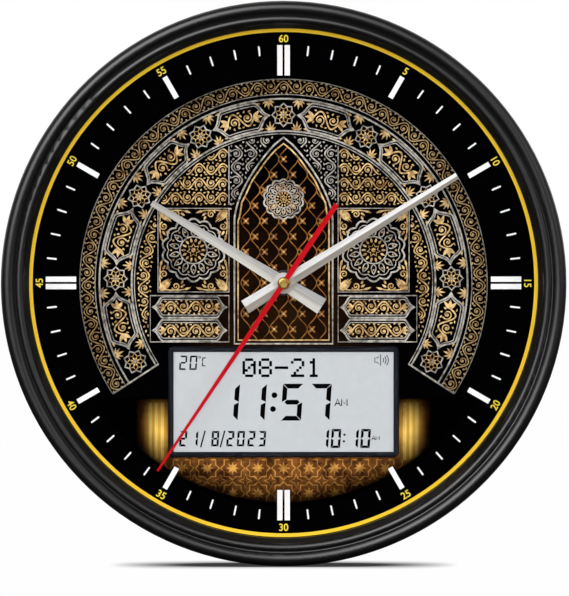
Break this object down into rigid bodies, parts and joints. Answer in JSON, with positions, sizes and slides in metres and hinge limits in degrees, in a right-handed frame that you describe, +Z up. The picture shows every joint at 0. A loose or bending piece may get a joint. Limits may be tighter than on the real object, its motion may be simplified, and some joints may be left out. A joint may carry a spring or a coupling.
{
  "type": "wall clock",
  "caption": "Round wall clock with a quartz movement, analogue hands and a liquid crystal panel for prayer times, in a hollow bezel with a rear case, speaker and keyhole hanger.",
  "frame": {"origin": "on the hands' axis, in the plane of the rear rim that rests on the wall", "axes": "+Z up, -Y out of the dial towards the viewer, +Y into the wall, +X to the viewer's right"},
  "size_m": [0.31, 0.0458, 0.31],
  "materials": {
    "black_gloss": "gloss moulded plastic, rolled and beaded",
    "lens_clear": "clear polished pane",
    "black_matte": "fine-grained moulded plastic",
    "printed_dial": "printed sheet on a stiff disc",
    "screw_steel": "zinc-plated steel",
    "lcd_frame": "dark blue-black satin frame",
    "lcd_panel": "pale grey liquid crystal panel",
    "white_sheet": "white diffusing sheet",
    "grey_rubber": "layered conductive rubber",
    "inner_plastic": "natural moulded plastic",
    "circuit_board": "solder-masked laminate",
    "components": "moulded chips and cans",
    "button_rubber": "soft-touch keys",
    "speaker_metal": "pressed and painted steel",
    "cone_paper": "pressed paper",
    "cell_jacket": "plain shrink jacket",
    "lead_sheath": "soft insulated lead",
    "copper": "enamelled copper wire",
    "brass_parts": "turned brass",
    "rotor_magnet": "bonded magnet",
    "knob_plastic": "moulded knob",
    "hand_metal": "brushed, creased lengthwise",
    "hand_red": "gloss red paint"
  },
  "bodies": {
    "case": {"front_bezel": "black_gloss", "lens": "lens_clear", "dial_spacer_ring": "black_matte", "dial_plate": "printed_dial", "rear_case": "black_matte", "case_screws": "screw_steel", "hanger_plate": "screw_steel", "hanger_screws": "screw_steel", "lcd_bezel": "lcd_frame", "lcd_glass": "lcd_panel", "lcd_reflector": "white_sheet", "zebra_strips": "grey_rubber", "lcd_housing": "inner_plastic", "main_board": "circuit_board", "board_components": "components", "board_screws": "screw_steel", "tact_switches": "components", "slide_switch_body": "black_matte", "speaker_basket": "speaker_metal", "speaker_cone": "cone_paper", "speaker_magnet": "speaker_metal", "speaker_screws": "screw_steel", "aa_batteries": "cell_jacket", "battery_contacts": "screw_steel", "battery_springs": "screw_steel", "speaker_lead": "lead_sheath", "battery_lead": "lead_sheath", "movement_front_case": "inner_plastic", "movement_middle_plate": "inner_plastic", "movement_rear_case": "inner_plastic", "movement_nut": "brass_parts", "movement_washer": "brass_parts", "movement_stator": "screw_steel", "coil_bobbin": "inner_plastic", "coil_winding": "copper", "movement_circuit": "circuit_board", "movement_battery": "cell_jacket", "movement_contacts": "screw_steel"},
    "minute_train": {"minute_wheel": "inner_plastic", "minute_hand": "hand_metal"},
    "hour_train": {"hour_wheel": "inner_plastic", "hour_hand": "hand_metal"},
    "second_train": {"second_wheel": "brass_parts", "second_hand": "hand_red", "second_hand_cap": "brass_parts"},
    "third_train": {"third_wheel": "inner_plastic"},
    "motion_train": {"motion_wheel": "inner_plastic", "setting_knob": "knob_plastic"},
    "step_train": {"step_wheel": "inner_plastic"},
    "rotor_body": {"rotor": "rotor_magnet"},
    "battery_cover": {"battery_door": "black_matte"},
    "switch_slider": {"slide_switch_knob": "black_matte"},
    "mode_key": {"mode_button": "button_rubber"},
    "set_key": {"set_button": "button_rubber"},
    "up_key": {"up_button": "button_rubber"},
    "down_key": {"down_button": "button_rubber"},
    "volume_key": {"volume_button": "button_rubber"},
    "reset_key": {"reset_button": "button_rubber"}
  },
  "joints": [
    {"name": "minute_turn", "type": "hinge", "parent": "case", "child": "minute_train", "pos_m": [0, -0.02, 0], "axis": [0, 1, 0], "continuous": true},
    {"name": "hour_turn", "type": "hinge", "parent": "case", "child": "hour_train", "pos_m": [0, -0.02, 0], "axis": [0, 1, 0], "continuous": true},
    {"name": "second_turn", "type": "hinge", "parent": "case", "child": "second_train", "pos_m": [0, -0.02, 0], "axis": [0, 1, 0], "continuous": true},
    {"name": "third_turn", "type": "hinge", "parent": "case", "child": "third_train", "pos_m": [-0.00721, -0.02, 0.00721], "axis": [0, 1, 0], "continuous": true},
    {"name": "motion_turn", "type": "hinge", "parent": "case", "child": "motion_train", "pos_m": [0.00813, -0.02, 0.00813], "axis": [0, 1, 0], "continuous": true},
    {"name": "step_turn", "type": "hinge", "parent": "case", "child": "step_train", "pos_m": [0.01027, -0.02, -0.00218], "axis": [0, 1, 0], "continuous": true},
    {"name": "rotor_turn", "type": "hinge", "parent": "case", "child": "rotor_body", "pos_m": [0.01835, -0.02, -0.00361], "axis": [0, 1, 0], "continuous": true},
    {"name": "mode_press", "type": "slide", "parent": "case", "child": "mode_key", "axis": [0, -1, 0], "range_m": [0, 0.0008], "stiffness_N_per_m": 700},
    {"name": "set_press", "type": "slide", "parent": "case", "child": "set_key", "axis": [0, -1, 0], "range_m": [0, 0.0008], "stiffness_N_per_m": 700},
    {"name": "up_press", "type": "slide", "parent": "case", "child": "up_key", "axis": [0, -1, 0], "range_m": [0, 0.0008], "stiffness_N_per_m": 700},
    {"name": "down_press", "type": "slide", "parent": "case", "child": "down_key", "axis": [0, -1, 0], "range_m": [0, 0.0008], "stiffness_N_per_m": 700},
    {"name": "volume_press", "type": "slide", "parent": "case", "child": "volume_key", "axis": [0, -1, 0], "range_m": [0, 0.0008], "stiffness_N_per_m": 700},
    {"name": "reset_press", "type": "slide", "parent": "case", "child": "reset_key", "axis": [0, -1, 0], "range_m": [0, 0.0008], "stiffness_N_per_m": 700},
    {"name": "switch_slide", "type": "slide", "parent": "case", "child": "switch_slider", "axis": [1, 0, 0], "range_m": [0, 0.003]},
    {"name": "door_hinge", "type": "hinge", "parent": "case", "child": "battery_cover", "pos_m": [0.072, -0.0082, 0.04135], "axis": [1, 0, 0], "range_deg": [0, 95]}
  ],
  "couplings": [
    {"joint": "second_turn", "follows": "minute_turn", "ratio": 60},
    {"joint": "third_turn", "follows": "minute_turn", "ratio": -8},
    {"joint": "hour_turn", "follows": "minute_turn", "ratio": 0.083333},
    {"joint": "motion_turn", "follows": "minute_turn", "ratio": -0.33333},
    {"joint": "step_turn", "follows": "minute_turn", "ratio": -240},
    {"joint": "rotor_turn", "follows": "minute_turn", "ratio": 1800}
  ]
}
